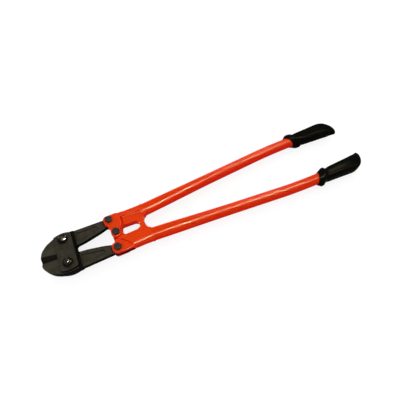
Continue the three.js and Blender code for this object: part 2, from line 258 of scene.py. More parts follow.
def insetFaces(piece, width, pierced=False):
    # a narrow border inside every broad face, so that wear stays at its edges
    mesh = bmesh.new()
    mesh.from_mesh(joinFlats(piece).data)
    broad = [face for face in mesh.faces if face.calc_area() > 6 * width * width]
    if pierced:
        bmesh.ops.inset_region(mesh, faces=broad, thickness=width, use_even_offset=False,
                               use_boundary=True)
    else:
        bmesh.ops.inset_individual(mesh, faces=[face for face in broad if bulges(face)],
                                   thickness=width, use_even_offset=False)
    mesh.to_mesh(piece.data)
    mesh.free()
    return piece


def node(tree, kind, inputs=None, **settings):
    made = tree.nodes.new(kind)
    made.location = (len(tree.nodes) * 190, 0)
    for name, value in settings.items():
        setattr(made, name, value)
    for key, value in (inputs or {}).items():
        socket = made.inputs[key]
        if isinstance(value, bpy.types.NodeSocket):
            tree.links.new(value, socket)
        else:
            socket.default_value = (*value, 1) if socket.type == "RGBA" else value
    return made


def calc(tree, operation, a, b=0.0, c=0.0, clamp=False):
    return node(tree, "ShaderNodeMath", {0: a, 1: b, 2: c}, operation=operation,
                use_clamp=clamp).outputs[0]


def rangeOf(tree, value, low, high, toLow=0.0, toHigh=1.0):
    return node(tree, "ShaderNodeMapRange", {"Value": value, "From Min": low, "From Max": high,
                                             "To Min": toLow, "To Max": toHigh}).outputs[0]


def mixValues(tree, share, first, second):
    return node(tree, "ShaderNodeMix", {0: share, 2: first, 3: second},
                data_type="FLOAT").outputs[0]


def objectPlace(tree):
    return node(tree, "ShaderNodeTexCoord").outputs["Object"]


def noiseOf(tree, place, scale, detail, roughness=0.5):
    return node(tree, "ShaderNodeTexNoise", {"Vector": place, "Scale": scale, "Detail": detail,
                                             "Roughness": roughness}).outputs["Fac"]


def addSockets(tree, way, sockets):
    for name, kind, value in sockets:
        socket = tree.interface.new_socket(name=name, in_out=way, socket_type="NodeSocket" + kind)
        if value is not None:
            socket.default_value = value


def newMaterial(name):
    material = bpy.data.materials.new(name)
    material.use_nodes = True
    material.node_tree.nodes.clear()
    return material, material.node_tree


camera = {
    "azimuth": -24.063, "elevation": 58.243, "roll": -0.992,    # degrees
    "lens": 27, "sensor": 36,                                   # millimetres
    "along": -205.664, "across": -84.783, "distance": 745.622,  # centre pivot in the view, mm
}


def makeCamera():
    azimuth, elevation, roll = (math.radians(camera[k]) for k in ("azimuth", "elevation", "roll"))
    back = Vector((math.sin(azimuth) * math.cos(elevation),
                   -math.cos(azimuth) * math.cos(elevation), math.sin(elevation)))
    level = Vector((math.cos(azimuth), math.sin(azimuth), 0))
    upright = back.cross(level)
    right = math.cos(roll) * level + math.sin(roll) * upright
    up = -math.sin(roll) * level + math.cos(roll) * upright
    place = (-camera["along"] * right - camera["across"] * up + camera["distance"] * back) * mm
    eye = bpy.data.cameras.new("camera")
    eye.lens = camera["lens"]
    eye.sensor_width = camera["sensor"]
    eye.clip_start = 0.01
    turn = Matrix((right, up, back)).transposed().to_4x4()
    holder = addObject("camera", eye)
    holder.matrix_world = Matrix.Translation(centre + place) @ turn
    bpy.context.scene.camera = holder


studio = {
    "horizon": 0.6, "overhead": 0.98,      # light from all round, softer near the horizon
    "floorReach": 6, "floorShade": 0.24,
    "floorLift": 0.83,          # the floor shows this much whiter to the camera
    "warmth": (1.0, 0.82, 0.52),
}
lamps = {
    # watts and metres; all but the key light only show as highlights
    "key": {"energy": 6.5, "size": (0.4, 0.4), "at": (-0.6, 1.2, 1.5), "towards": (0, 0, 0)},
    "front": {"energy": 18, "size": (0.25, 0.25), "at": (-1.0, -1.1, 1.2), "towards": (0, 0, 0)},
    "side": {"energy": 10, "size": (0.22, 0.22), "at": (1.3, -0.3, 0.95), "towards": (0, 0, 0)},
    "strip": {"energy": 440, "size": (1.33, 0.09), "at": (0.585, -0.06, 1.3),
              "towards": (0.585, -0.02, 0)},
    "faint strip": {"energy": 190, "size": (0.45, 0.17), "at": (-0.305, -0.06, 1.3),
                    "towards": (-0.305, -0.02, 0)},
    "second strip": {"energy": 70, "size": (1.1, 0.06), "at": (0.75, 0.42, 1.2),
                     "towards": (0.65, 0, 0)},
    "panel": {"energy": 3.8, "size": (0.56, 0.8), "at": (0.35, 0.75, 0.95),
              "towards": (0.2, 0, 0)},
}


def areaLight(name):
    values, soft = lamps[name], name == "key"
    lamp = bpy.data.lights.new(f"{name} light", "AREA")
    lamp.shape = "RECTANGLE"
    lamp.size, lamp.size_y = values["size"]
    lamp.energy = values["energy"]
    lamp.color = (1, 1, 1) if soft else studio["warmth"]
    place = Vector(values["at"])
    back = (place - Vector(values["towards"])).normalized()
    upward = back.cross(Vector((1, 0, 0))).normalized()
    turn = Matrix((upward.cross(back), upward, back)).transposed().to_4x4()
    holder = addObject(f"{name} light", lamp)
    holder.matrix_world = Matrix.Translation(place) @ turn
    holder.visible_diffuse = soft


def whiteBackground(tree):
    # where a ray should meet the pale background: straight, mirrored or through glass
    path = node(tree, "ShaderNodeLightPath").outputs
    mirrored = calc(tree, "ADD", path["Is Glossy Ray"], path["Is Transmission Ray"])
    return calc(tree, "ADD", path["Is Camera Ray"], mirrored, clamp=True)


def makeStudio():
    world = bpy.data.worlds.new("studio")
    bpy.context.scene.world = world
    world.use_nodes = True
    tree = world.node_tree
    tree.nodes.clear()
    seen = whiteBackground(tree)
    height = node(tree, "ShaderNodeSeparateXYZ", {
        0: node(tree, "ShaderNodeTexCoord").outputs["Generated"]}).outputs["Z"]
    sky = rangeOf(tree, height, 0, 1, studio["horizon"], studio["overhead"])
    light = node(tree, "ShaderNodeBackground", {
        "Color": (1, 1, 1), "Strength": mixValues(tree, seen, sky, 1.0)})
    node(tree, "ShaderNodeOutputWorld", {"Surface": light.outputs[0]})

    reach = studio["floorReach"]
    corners = [(x * reach, y * reach, 0) for x, y in ((-1, -1), (1, -1), (1, 1), (-1, 1))]
    floor = newPiece("floor", corners, [(0, 1, 2, 3)])
    material, tree = newMaterial("floor white")
    matt = node(tree, "ShaderNodeBsdfDiffuse", {"Color": (studio["floorShade"],) * 3})
    glow = calc(tree, "MULTIPLY", whiteBackground(tree), studio["floorLift"])
    lift = node(tree, "ShaderNodeEmission", {"Color": (1, 1, 1), "Strength": glow})
    both = node(tree, "ShaderNodeAddShader", {0: matt.outputs[0], 1: lift.outputs[0]})
    node(tree, "ShaderNodeOutputMaterial", {"Surface": both.outputs[0]})
    floor.data.materials.append(material)

    for name in lamps:
        areaLight(name)
    bpy.context.scene.view_settings.view_transform = "Standard"


def makeGroup(name, inputs, outputs):
    tree = bpy.data.node_groups.new(name, "ShaderNodeTree")
    addSockets(tree, "INPUT", [(key, "Vector" if isinstance(value, tuple) else "Float", value)
                               for key, value in inputs.items()])
    addSockets(tree, "OUTPUT", [(key, "Float", None) for key in outputs])
    given = tree.nodes.new("NodeGroupInput").outputs
    return tree, given, tree.nodes.new("NodeGroupOutput").inputs


def mottleGroup(name):
    # cloudy variation: broad clouds with fine grain over them, about 0.5
    tree, given, result = makeGroup(name, {"Broad": 60.0, "Fine": 900.0, "Fine Share": 0.4},
                                    ["Value"])
    place = objectPlace(tree)
    mixed = mixValues(tree, given["Fine Share"], noiseOf(tree, place, given["Broad"], 5.0, 0.6),
                      noiseOf(tree, place, given["Fine"], 3.0))
    tree.links.new(mixed, result["Value"])
    return tree


def wearGroup(name):
    # 1 on worn edges, broken up by noise
    tree, given, result = makeGroup(name, {"Start": 0.53, "End": 0.6, "Breakup": 0.5}, ["Mask"])
    noise = noiseOf(tree, objectPlace(tree), 260.0, 6.0, 0.7)
    point = node(tree, "ShaderNodeNewGeometry").outputs["Pointiness"]
    edge = rangeOf(tree, point, given["Start"], given["End"])
    broken = calc(tree, "MULTIPLY_ADD", calc(tree, "SUBTRACT", noise, 0.5), given["Breakup"], edge)
    tree.links.new(calc(tree, "MULTIPLY", broken, edge, clamp=True), result["Mask"])
    return tree


def grindGroup(name):
    # fine parallel lines left by a grinding wheel
    tree, given, result = makeGroup(name, {"Stretch": (40.0, 2200.0, 900.0)}, ["Value"])
    stretched = node(tree, "ShaderNodeVectorMath", {0: objectPlace(tree), 1: given["Stretch"]},
                     operation="MULTIPLY")
    tree.links.new(noiseOf(tree, stretched.outputs[0], 1.0, 3.0, 0.65), result["Value"])
    return tree


def placeGroup(name):
    # place on the tool in millimetres from the centre pivot, across taken without its sign
    tree, given, result = makeGroup(name, {}, ["Along", "Across"])
    parts = node(tree, "ShaderNodeSeparateXYZ", {0: objectPlace(tree)}).outputs
    along = calc(tree, "MULTIPLY", calc(tree, "SUBTRACT", parts["X"], centre.x), 1 / mm)
    across = calc(tree, "MULTIPLY", calc(tree, "ABSOLUTE", parts["Y"]), 1 / mm)
    tree.links.new(along, result["Along"])
    tree.links.new(across, result["Across"])
    return tree


def speckGroup(name):
    # scattered small marks
    tree, given, result = makeGroup(name, {"Scale": 300.0, "Size": 0.2}, ["Mask"])
    cells = node(tree, "ShaderNodeTexVoronoi", {"Vector": objectPlace(tree),
                                                "Scale": given["Scale"]}).outputs
    chance = node(tree, "ShaderNodeSeparateXYZ", {0: cells["Color"]}).outputs["X"]
    reach = calc(tree, "MULTIPLY", calc(tree, "SUBTRACT", chance, 0.6, clamp=True), given["Size"])
    tree.links.new(calc(tree, "LESS_THAN", cells["Distance"], reach), result["Mask"])
    return tree


groups = {}


def makeGroups():
    for name, build in (("mottle", mottleGroup), ("edge wear", wearGroup), ("specks", speckGroup),
                        ("grinding lines", grindGroup), ("tool place", placeGroup)):
        groups[name] = build(name)


def placed(tree, name, inputs=None):
    return node(tree, "ShaderNodeGroup", inputs, node_tree=groups[name]).outputs[0]


def cloudsOf(tree, broad, fine, fineShare):
    return placed(tree, "mottle", {"Broad": broad, "Fine": fine, "Fine Share": fineShare})


def wornEdges(tree, start, end, breakup):
    return placed(tree, "edge wear", {"Start": start, "End": end, "Breakup": breakup})


def between(tree, value, low, high, soft):
    rise = rangeOf(tree, value, low - soft, low + soft)
    fall = rangeOf(tree, value, high - soft, high + soft, 1.0, 0.0)
    return calc(tree, "MULTIPLY", rise, fall)


def blendColours(tree, share, first, second):
    return node(tree, "ShaderNodeMix", {0: share, 6: first, 7: second},
                data_type="RGBA").outputs[2]


def bumped(tree, height, strength, distance):
    return node(tree, "ShaderNodeBump", {"Height": height, "Strength": strength,
                                         "Distance": distance}).outputs[0]


def faceLevel(tree, normal, low, high):
    # 1 where a face looks up or down, 0 where it stands
    slope = node(tree, "ShaderNodeSeparateXYZ", {0: normal}).outputs["Z"]
    return rangeOf(tree, calc(tree, "ABSOLUTE", slope), low, high)


def surface(tree, inputs):
    shader = node(tree, "ShaderNodeBsdfPrincipled", inputs)
    node(tree, "ShaderNodeOutputMaterial", {"Surface": shader.outputs[0]})


enamel = {
    # colours facing up and facing sideways, as painted light: the up colour is paler and more orange
    # as a painted sheen, the side colour a deeper red as painted shade; the hollow colour is painted
    # shade in creases
    "cast": ((0.73, 0.044, 0.0035), (0.96, 0.010, 0.0005)),
    "tube": ((0.70, 0.036, 0.001), (0.94, 0.011, 0.0005)),
    "creaseShade": (0.52, 0.004, 0.0005), "primer": (0.16, 0.012, 0.006),
    "castRoughness": (0.1, 0.18), "tubeRoughness": (0.06, 0.1), "shine": 0.02, "peel": 0.01,
}


def redEnamel(name, kind, chips):
    material, tree = newMaterial(name)
    clouds = cloudsOf(tree, 22.0, 380.0, 0.25)
    share = rangeOf(tree, clouds, 0.35, 0.65, 0.9, 1.1)
    worn = wornEdges(tree, 0.57, 0.68, 1.6)
    geometry = node(tree, "ShaderNodeNewGeometry").outputs
    # painted light: faces that look up get the paler colour, standing faces the deeper red
    level = faceLevel(tree, geometry["Normal"], 0.25, 0.9)
    up, side = enamel[kind]
    paintAndShade = blendColours(tree, calc(tree, "MULTIPLY", level, share), side, up)
    # painted shade: the paint is darker in hollows and creases
    creaseShade = rangeOf(tree, geometry["Pointiness"], 0.494, 0.455)
    paintAndShade = blendColours(tree, creaseShade, paintAndShade, enamel["creaseShade"])
    colour = blendColours(tree, calc(tree, "MULTIPLY", worn, chips), paintAndShade, enamel["primer"])
    peel = noiseOf(tree, objectPlace(tree), 420.0, 2.0)
    surface(tree, {
        "Base Color": colour,
        "Roughness": rangeOf(tree, clouds, 0.3, 0.7, *enamel[kind + "Roughness"]),
        "Specular IOR Level": enamel["shine"],
        "Normal": bumped(tree, peel, enamel["peel"], 0.0004),
    })
    return material


steel = {
    # dark and pale clouds; the side colour is painted shade on standing faces, the upper and lower
    # edge colours are painted shade and painted light on the steep edge bevels, and the darkest
    # colour is painted shade in hollows and beside the link plate
    "jaw": ((0.028, 0.024, 0.016), (0.050, 0.044, 0.032)),
    "plate": ((0.024, 0.022, 0.015), (0.045, 0.041, 0.031)),
    "jawRoughness": 0.42, "plateRoughness": 0.5, "grind": 0.5,
    "olive": (0.030, 0.031, 0.014), "side": (0.004, 0.004, 0.0035), "bare": (0.12, 0.115, 0.10),
    "relief": (0.050, 0.047, 0.033), "shadedEdge": (0.006, 0.006, 0.0055),
    "litEdge": (0.043, 0.038, 0.028), "edgeShadeWidth": 2.4, "edgeDrift": 0.06,
    "paintedShade": (0.003, 0.003, 0.0028), "shine": 0.0024,
}


def phosphateSteel(name, kind, paintedEdgeTone=None, edgeShadeWidth=0.0):
    # phosphated steel, cloudy, with bare metal on its worn edges
    material, tree = newMaterial(name)
    clouds = cloudsOf(tree, 70.0, 1300.0, 0.45)
    drift = cloudsOf(tree, 34.0, 200.0, 0.3)
    worn = wornEdges(tree, 0.54, 0.64, 1.2)
    specks = placed(tree, "specks", {"Scale": 420.0, "Size": 0.5})
    faces = blendColours(tree, rangeOf(tree, clouds, 0.36, 0.64), *steel[kind])
    faces = blendColours(tree, rangeOf(tree, drift, 0.5, 0.62, 0, 0.6), faces, steel["olive"])
    if paintedEdgeTone:
        # ground bevels along the cutting edge, with painted shade on the upper jaw's steep edge
        # bevel and painted light on the lower jaw's, and a painted shadow beside the link plate
        where = node(tree, "ShaderNodeGroup", node_tree=groups["tool place"])
        along, across = where.outputs["Along"], where.outputs["Across"]
        tip = jawPivot.x - jaw["reach"]
        run = calc(tree, "SUBTRACT", along, tip)
        ground = between(tree, along, tip - 5, jawPivot.x - jaw["bevelStop"], 0.3)
        reach = jaw["edgeBevel"][0] + jaw["reliefBevel"][0]
        relief = calc(tree, "MULTIPLY", ground, between(tree, across, -1, reach, 0.4))
        faces = blendColours(tree, calc(tree, "MULTIPLY", relief, 0.75), faces, steel["relief"])
        limit = calc(tree, "MULTIPLY_ADD", run, -jaw["bevelTaper"], jaw["edgeBevel"][0] + 0.8)
        near = calc(tree, "SUBTRACT", across, limit)
        edge = calc(tree, "MULTIPLY", ground, between(tree, near, -farOff, 0, 0.35))
        faces = blendColours(tree, edge, faces, paintedEdgeTone)
        # painted shade: a dark band on the lower jaw just past the cutting line
        if edgeShadeWidth:
            rootLine = calc(tree, "MULTIPLY_ADD", run, steel["edgeDrift"], edgeShadeWidth)
            root = calc(tree, "SUBTRACT", across, rootLine)
            edgeRootShade = calc(tree, "MULTIPLY", ground, between(tree, root, -farOff, 0, 0.35))
            faces = blendColours(tree, edgeRootShade, faces, steel["shadedEdge"])
        # painted shadow: a near-black band on the jaw beside the link plate's back edge
        beside = jawPivot.x + linkPlate["back"]
        paintedShade = between(tree, along, beside - 3, beside + 6, 0.8)
        faces = blendColours(tree, paintedShade, faces, steel["paintedShade"])
    # the flat faces are paler than the sides: partly the ground finish of the flats, partly painted
    # shade on the sides
    geometry = node(tree, "ShaderNodeNewGeometry").outputs
    level = faceLevel(tree, geometry["Normal"], 0.55, 0.85)
    coatColour = blendColours(tree, level, steel["side"], faces)
    # painted shade: the hollows are painted darker
    creaseShade = rangeOf(tree, geometry["Pointiness"], 0.492, 0.45, 0, 0.9)
    coatColour = blendColours(tree, creaseShade, coatColour, steel["paintedShade"])
    bright = calc(tree, "MULTIPLY", calc(tree, "MAXIMUM", worn, specks), 0.45)
    colour = blendColours(tree, bright, coatColour, steel["bare"])
    height = clouds
    if paintedEdgeTone:
        lines = placed(tree, "grinding lines", {"Stretch": (60, 1700, 800)})
        height = mixValues(tree, steel["grind"], clouds, lines)
    roughness = steel[kind + "Roughness"]
    surface(tree, {
        "Base Color": colour,
        "Metallic": calc(tree, "MULTIPLY", worn, 0.4), "Specular IOR Level": steel["shine"],
        "Roughness": rangeOf(tree, height, 0.3, 0.7, roughness - 0.08, roughness + 0.1),
        "Normal": bumped(tree, height, 0.25, 0.0004),
    })
    return material


oiled = {
    # rub is how bare and pale the corners are, as wear and on the nuts as a painted highlight;
    # wornTo how sharp a corner has to be for it
    # the nuts' strong rub paints pale rims as a painted highlight, partly wear
    "nut steel": {"dark": (0.004, 0.004, 0.0038), "pale": (0.013, 0.012, 0.01), "wearAndGlint": 0.75,
                  "wornTo": 0.57, "roughness": 0.2, "shine": 0.013},
    "bolt steel": {"dark": (0.007, 0.0068, 0.0058), "pale": (0.02, 0.019, 0.0155), "wearAndGlint": 0.15,
                   "wornTo": 0.66, "roughness": 0.17, "shine": 0.07},
    # the washer colour is painted shade: near-black for the ring of shade round each nut
    "washer steel": {"dark": (0.003, 0.003, 0.0028), "pale": (0.008, 0.0075, 0.0065),
                     "wearAndGlint": 0.04, "wornTo": 0.66, "roughness": 0.3, "shine": 0.008},
    "black steel": {"dark": (0.018, 0.017, 0.015), "pale": (0.044, 0.04, 0.034), "wearAndGlint": 0.05,
                    "wornTo": 0.66, "roughness": 0.24, "shine": 0.013},
    # painted shade for the inside of the fork's slot and pocket
    "slot shade black": {"dark": (0.002, 0.002, 0.002), "pale": (0.004, 0.004, 0.0035), "wearAndGlint": 0.0,
                     "wornTo": 0.66, "roughness": 0.5, "shine": 0.02},
}
bareMetal = (0.45, 0.43, 0.38)


def oiledSteel(name):
    # black oxide with an oily shine, its corners pale as wear and as a painted highlight
    values = oiled[name]
    material, tree = newMaterial(name)
    clouds = cloudsOf(tree, 180.0, 1600.0, 0.4)
    worn = wornEdges(tree, 0.53, values["wornTo"], 1.0)
    wornAndGlinting = calc(tree, "MULTIPLY", worn, values["wearAndGlint"])
    oxide = blendColours(tree, rangeOf(tree, clouds, 0.35, 0.65), values["dark"], values["pale"])
    surface(tree, {
        "Base Color": blendColours(tree, wornAndGlinting, oxide, bareMetal), "Metallic": wornAndGlinting,
        "Specular IOR Level": values["shine"],
        "Roughness": rangeOf(tree, clouds, 0.3, 0.7, values["roughness"] - 0.06,
                             values["roughness"] + 0.08),
        "Normal": bumped(tree, clouds, 0.12, 0.0003),
    })
    return material


rubber = {"dark": (0.0028, 0.0026, 0.002), "pale": (0.0056, 0.0053, 0.0042),
          "roughness": (0.13, 0.2), "shine": 0.0016}


def blackRubber():
    material, tree = newMaterial("black rubber")
    clouds = cloudsOf(tree, 30.0, 1500.0, 0.5)
    colour = blendColours(tree, rangeOf(tree, clouds, 0.35, 0.65), rubber["dark"],
                          rubber["pale"])
    surface(tree, {
        "Base Color": colour,
        "Roughness": rangeOf(tree, clouds, 0.35, 0.65, *rubber["roughness"]),
        "Specular IOR Level": rubber["shine"],
        "Normal": bumped(tree, clouds, 0.1, 0.0003),
    })
    return material


jaw = {
    "reach": 60.8, "nose": 10, "outer": 19.4, "headReach": 22.5, "ramp": 5, "heelReach": 16,
    "tailHalf": 6.4, "tongueHalf": 4.1, "tongueRadius": 11, "shoulderRadius": 16.8,
    "edgeLand": 0.9, "edgeBevel": (13, 6.6), "reliefBevel": (12, 2.6), "bevelStop": 8,
    "bevelTaper": 0.16, "panelDepth": 1.9, "boltHole": 6.7, "tailHole": 5.5, "voxel": 0.5,
    "smoothing": 3,
}
faceGap = 0.02                  # half of what the closed edges leave
farOff = 200                    # cutters reach past everything


def recess(corners, floorZ, rimZ, draft=0.9):
    # cutter for a sunk panel whose walls lean outwards
    middle = (sum(c[0] for c in corners) / len(corners), sum(c[1] for c in corners) / len(corners))
    rings = []
    for z, grow in ((floorZ, -draft), (2 * rimZ - floorZ, draft)):
        moved = []
        for x, y, radius in corners:
            away = Vector((x - middle[0], y - middle[1])).normalized() * grow
            moved.append((x + away.x, y + away.y, radius))
        rings.append([(x, y, z) for x, y in rounded(moved)])
    return skin("cut", rings)


def makeJaw(name):
    tip = jawPivot.x - jaw["reach"]
    back = jawPivot.y + jaw["outer"]
    heelX = jawPivot.x + jaw["heelReach"]
    tail, tongue = tailPivot, jaw["tongueRadius"]
    outline = rounded([
        (tip, faceGap, 0), (tip - 0.5, jaw["nose"], 4), (tip + 4, 22.5, 30),
        (tip + 19, 38.5, 40), (tip + 38, back - 2.6, 60), (jawPivot.x - 4, back, 60),
        (jawPivot.x + 24, back, 60), (tail.x - 17, tail.y + 9.2, 12),
        (tail.x, tail.y + tongue, 10), (tail.x + tongue, tail.y + tongue, tongue),
        (tail.x + tongue, tail.y - tongue, tongue), (tail.x - 4, tail.y - tongue - 0.6, 12),
        (tail.x - 30, tail.y - 19.5, 60), (tail.x - 69, 11.8, 40), (heelX + 7, 9, 6),
        (heelX, 2.5, 1.5), (jawPivot.x, faceGap, 0),
    ])
    behind = jawPivot.x + jaw["headReach"]
    foot = behind + jaw["ramp"]
    section = [(behind, jawHalf + 0.01), (behind - 2, jawHalf + 5), (farOff, jawHalf + 5),
               (farOff, jaw["tailHalf"] - 0.3), (foot, jaw["tailHalf"] - 0.3)]
    ramps = [skin("cut", [[(x, y, side * z) for x, z in section] for y in (-farOff, farOff)])
             for side in (1, -1)]
    reach, depth = jaw["edgeBevel"]
    fullReach, fullDepth = reach + jaw["reliefBevel"][0], depth + jaw["reliefBevel"][1]
    section = [(-5, jaw["edgeLand"]), (faceGap, jaw["edgeLand"]), (reach, depth),
               (fullReach, fullDepth), (fullReach + 2, jawHalf + 5), (-5, jawHalf + 5)]
    stop = jawPivot.x - jaw["bevelStop"]
    bevels = [skin("cut", [[(x, y, side * z) for y, z in section] for x in (tip - 10, stop)])
              for side in (1, -1)]
    beyond = slab("cut", [(foot + 1, -farOff), (farOff, -farOff), (farOff, farOff),
                          (foot + 1, farOff)], -farOff, farOff)
    head = carve(slab(name, outline, -jawHalf, jawHalf), ramps + [beyond])
    half, shoulder = jaw["tongueHalf"], jaw["shoulderRadius"]
    panelCorners = [(behind + 4.5, 18.6, 2), (tail.x - 37, 28.6, 5), (tail.x - 28.5, 34.6, 5),
                    (tail.x - 36, 40.2, 5), (behind + 4.5, 42.6, 2)]
    floorZ = jaw["tailHalf"] - jaw["panelDepth"]
    tailBody = carve(slab("tail", outline, -jaw["tailHalf"], jaw["tailHalf"]), [
        rod("cut", tail, shoulder, half, farOff), rod("cut", tail, shoulder, -farOff, -half),
        recess(panelCorners, floorZ, jaw["tailHalf"]),
        recess(panelCorners, -floorZ, -jaw["tailHalf"]),
    ])
    cutters = bevels + [rod("cut", jawPivot, jaw["boltHole"], -farOff, farOff),
                        rod("cut", tail, jaw["tailHole"], -farOff, farOff)]
    carve(head, cutters, keep=True)
    carve(tailBody, cutters)
    return fuse(name, [head, tailBody], jaw["voxel"], jaw["smoothing"])


linkPlate = {"front": 21.5, "back": 20.5, "shoulder": 13.6, "crown": 4.6, "edge": 1.3}


def makeLinkPlate(name):
    front, back = jawPivot.x - linkPlate["front"], jawPivot.x + linkPlate["back"]
    corner = jawPivot.y + linkPlate["shoulder"]
    steps = 24
    outline = []
    for side in (-1, 1):
        for i in range(steps + 1):
            share = i / steps if side < 0 else 1 - i / steps
            crown = 4 * linkPlate["crown"] * share * (1 - share)
            outline.append((front + (back - front) * share, side * (corner + crown)))
    holes = [rod("cut", (jawPivot.x, side * jawPivot.y), jaw["boltHole"], 0, farOff)
             for side in (1, -1)]
    plate = joinFlats(carve(slab(name, outline, plateBase, plateTop), holes))
    return insetFaces(rounding(plate, linkPlate["edge"], 4), faceBorder["plate"], pierced=True)


jawFastener = {"flats": 19, "head": 7.4, "nut": 7.6, "radius": 6.4, "washer": (11.8, 2),
               "proud": 2, "pitch": 1.75}
pivotFastener = {"flats": 16.4, "head": 6.8, "nut": 7, "radius": 5.2, "washer": (10.6, 1.8),
                 "proud": 2, "pitch": 1.5}
seat = 0.3                      # what bolted faces leave between them
cornerRound = 0.35              # on washers and hexagons
faceBorder = {"hexagon": 0.7, "plate": 1.2}


def hexTree():
    # hexagon with its corners turned off, and a bore if it is a nut
    tree = bpy.data.node_groups.new("hexagon", "GeometryNodeTree")
    addSockets(tree, "INPUT", [
        ("Geometry", "Geometry", None), ("Flats", "Float", 19.0), ("Height", "Float", 7.0),
        ("Bore", "Float", 0.0), ("Both Ends", "Float", 0.0), ("Turn", "Float", 0.0),
        ("Place", "Vector", None), ("Material", "Material", None)])
    addSockets(tree, "OUTPUT", [("Geometry", "Geometry", None)])
    given = tree.nodes.new("NodeGroupInput").outputs
    result = tree.nodes.new("NodeGroupOutput").inputs
    flats, height = given["Flats"], given["Height"]
    prism = node(tree, "GeometryNodeMeshCylinder", {
        "Vertices": 6, "Radius": calc(tree, "DIVIDE", flats, math.sqrt(3)), "Depth": height})
    face = calc(tree, "MULTIPLY", flats, 0.44)
    spread = calc(tree, "MULTIPLY", height, 1.75)
    wide = calc(tree, "ADD", face, spread)
    under = calc(tree, "SUBTRACT", wide, calc(tree, "MULTIPLY", given["Both Ends"], spread))
    down = node(tree, "ShaderNodeCombineXYZ", {"Z": calc(tree, "MULTIPLY", height, -0.5)})
    body = prism.outputs[0]
    for top, bottom in ((face, wide), (wide, under)):
        cone = node(tree, "GeometryNodeMeshCone", {
            "Vertices": 96, "Radius Top": top, "Radius Bottom": bottom, "Depth": height})
        lowered = node(tree, "GeometryNodeTransform", {"Geometry": cone.outputs[0],
                                                       "Translation": down.outputs[0]})
        both = node(tree, "GeometryNodeMeshBoolean", operation="INTERSECT", solver="EXACT")
        tree.links.new(body, both.inputs["Mesh 2"])
        tree.links.new(lowered.outputs[0], both.inputs["Mesh 2"])
        body = both.outputs[0]
    drill = node(tree, "GeometryNodeMeshCylinder", {
        "Vertices": 96, "Radius": given["Bore"], "Depth": calc(tree, "MULTIPLY", height, 3.0)})
    drilled = node(tree, "GeometryNodeMeshBoolean", {"Mesh 1": body}, operation="DIFFERENCE",
                   solver="EXACT")
    tree.links.new(drill.outputs[0], drilled.inputs["Mesh 2"])
    isNut = calc(tree, "GREATER_THAN", given["Bore"], 0.01)
    chosen = node(tree, "GeometryNodeSwitch", {"Switch": isNut, "False": body,
                                               "True": drilled.outputs[0]},
                  input_type="GEOMETRY")
    angles = node(tree, "ShaderNodeCombineXYZ", {"Z": given["Turn"]})
    put = node(tree, "GeometryNodeTransform", {
        "Geometry": chosen.outputs[0], "Translation": given["Place"],
        "Rotation": angles.outputs[0]})
    real = node(tree, "GeometryNodeRealizeInstances", {"Geometry": put.outputs[0]})
    painted = node(tree, "GeometryNodeSetMaterial", {"Geometry": real.outputs[0],
                                                     "Material": given["Material"]})
    tree.links.new(painted.outputs[0], result[0])
    return tree


def hexagon(name, tree, middle, bottom, values, height, bore=0.0, bothEnds=0.0, turn=0.0):
    piece = newPiece(name, [(0, 0, 0)], [])
    modifier = piece.modifiers.new("hexagon", "NODES")
    modifier.node_group = tree
    ids = {item.name: item.identifier for item in tree.interface.items_tree
           if item.in_out == "INPUT"}
    sizes = {"Flats": values["flats"], "Height": height, "Bore": bore, "Both Ends": bothEnds,
             "Turn": turn}
    for key, size in sizes.items():
        modifier[ids[key]] = float(size)
    modifier[ids["Place"]] = (middle[0], middle[1], bottom + height / 2)
    return insetFaces(rounding(joinFlats(settle(piece)), cornerRound, 2, 25),
                      faceBorder["hexagon"])


thread = {"depth": 0.45, "dome": 1.4, "sides": 72}


def threadedEnd(name, middle, values, bottom, top):
    # round shank with a helical thread, domed at its end
    radius, pitch = values["radius"], values["pitch"]
    depth, dome, sides = thread["depth"], thread["dome"], thread["sides"]
    rows = int((top - bottom) / pitch * 10)
    rings = []
    for row in range(rows + 1):
        z = bottom + (top - dome - bottom) * row / rows
        ring = []
        for i in range(sides):
            turn = 2 * math.pi * i / sides
            wave = abs(((z / pitch - i / sides) % 1) * 2 - 1)
            r = radius - depth * wave
            ring.append((middle[0] + r * math.cos(turn), middle[1] + r * math.sin(turn), z))
        rings.append(ring)
    for k in range(1, 7):
        share = k / 7
        r = (radius - depth) * math.cos(share * math.pi / 2) + 0.35 * share
        z = top - dome + dome * math.sin(share * math.pi / 2)
        rings.append([(x, y, z) for x, y in circle(middle, r, sides)])
    return skin(name, rings)


def makeWasher(name, middle, values, bottom):
    wide, thick = values["washer"]
    bore = values["radius"] + seat
    section = [(bore, bottom), (wide, bottom), (wide, bottom + thick), (bore, bottom + thick)]
    rings = [[(x, y, z) for x, y in circle(middle, radius)] for radius, z in section + section[:1]]
    return rounding(skin(name, rings, capped=False), cornerRound, 2)


def turnOver(piece, y, z=0.0):
    # half a turn about a line along X
    axis = Matrix.Translation((0, y, z))
    piece.data.transform(axis @ turnedOver @ axis.inverted())
    return piece


